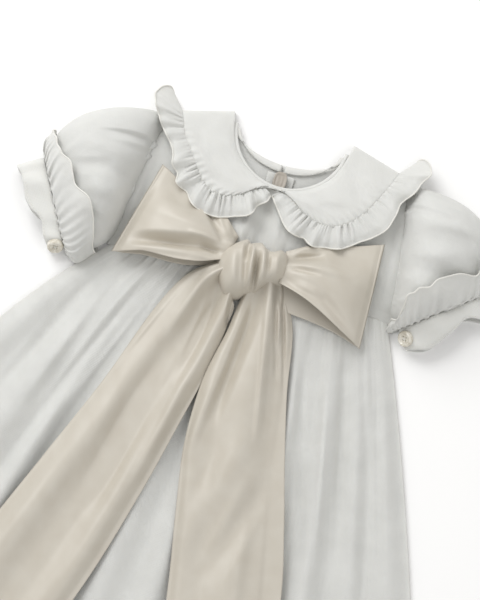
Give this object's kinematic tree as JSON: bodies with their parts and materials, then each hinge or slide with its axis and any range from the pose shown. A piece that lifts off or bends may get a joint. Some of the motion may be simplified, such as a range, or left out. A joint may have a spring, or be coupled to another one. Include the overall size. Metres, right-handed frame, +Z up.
{
  "type": "christening gown",
  "caption": "Baby's long white christening gown laid flat on its back, with puff sleeves, a frilled two-piece collar and a satin sash bow.",
  "frame": {"origin": "on the surface the gown lies on, under the middle of its outline", "axes": "+Y from the hem to the neck, +Z up off the surface, +X to the right of a viewer who looks down at the gown's front with the neck away"},
  "size_m": [0.5242, 0.6504, 0.0399],
  "materials": {
    "white_voile": "matte white cotton voile",
    "sash_satin": "soft champagne satin",
    "pearl_button": "pearly gloss",
    "zip_tape": "matte woven tape and coil",
    "zip_metal": "warm grey satin paint"
  },
  "bodies": {
    "root": {"bodice_front": "white_voile", "bodice_back_left": "white_voile", "bodice_back_right": "white_voile", "skirt_front": "white_voile", "skirt_back_left": "white_voile", "skirt_back_right": "white_voile", "sleeve_left": "white_voile", "sleeve_right": "white_voile", "cuff_frill_left": "white_voile", "cuff_frill_right": "white_voile", "cuff_band_left": "white_voile", "cuff_band_right": "white_voile", "collar_left": "white_voile", "collar_right": "white_voile", "collar_frill_left": "white_voile", "collar_frill_right": "white_voile", "neck_binding_front": "white_voile", "neck_binding_back_left": "white_voile", "neck_binding_back_right": "white_voile", "bow_loop_left": "sash_satin", "bow_loop_right": "sash_satin", "bow_knot": "sash_satin", "bow_tail_left": "sash_satin", "bow_tail_right": "sash_satin", "cuff_button_left": "pearl_button", "cuff_button_right": "pearl_button", "zip_chain": "zip_tape", "zip_slider": "zip_metal"}
  },
  "joints": []
}
